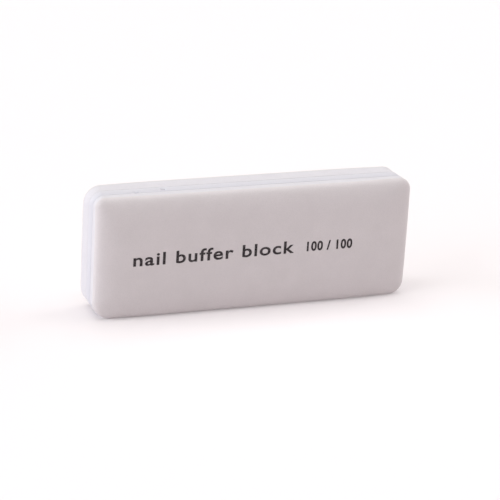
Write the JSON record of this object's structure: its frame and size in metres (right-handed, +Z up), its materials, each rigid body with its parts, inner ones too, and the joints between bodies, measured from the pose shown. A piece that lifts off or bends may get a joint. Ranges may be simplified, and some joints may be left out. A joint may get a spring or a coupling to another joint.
{
  "type": "nail buffer block",
  "caption": "Slim rectangular nail buffer block: soft foam pads on a stiff core, each faced with a bonded abrasive sheet, with rounded corners and rolled rims.",
  "frame": {"origin": "under the middle of the long narrow edge that the block stands on, at mid-thickness", "axes": "+X along the block's length, -Y out of the printed front abrasive face, +Z up across the block's width"},
  "size_m": [0.095, 0.016, 0.0355],
  "materials": {
    "core_foam": "matte closed-cell foam board, very slightly bluer than the pads",
    "pad_foam": "matte fine-celled soft foam, cut surface",
    "adhesive": "clear cured film, as pale as the foam behind it",
    "backing_paper": "latex-saturated paper",
    "grit_coat": "100 grit white abrasive in matt resin",
    "print_ink": "matt dark pad-printed ink"
  },
  "bodies": {
    "root": {"core_board": "core_foam", "front_core_adhesive": "adhesive", "front_foam_pad": "pad_foam", "front_sheet_adhesive": "adhesive", "front_abrasive_backing": "backing_paper", "front_grit_coat": "grit_coat", "rear_core_adhesive": "adhesive", "rear_foam_pad": "pad_foam", "rear_sheet_adhesive": "adhesive", "rear_abrasive_backing": "backing_paper", "rear_grit_coat": "grit_coat"}
  },
  "joints": []
}
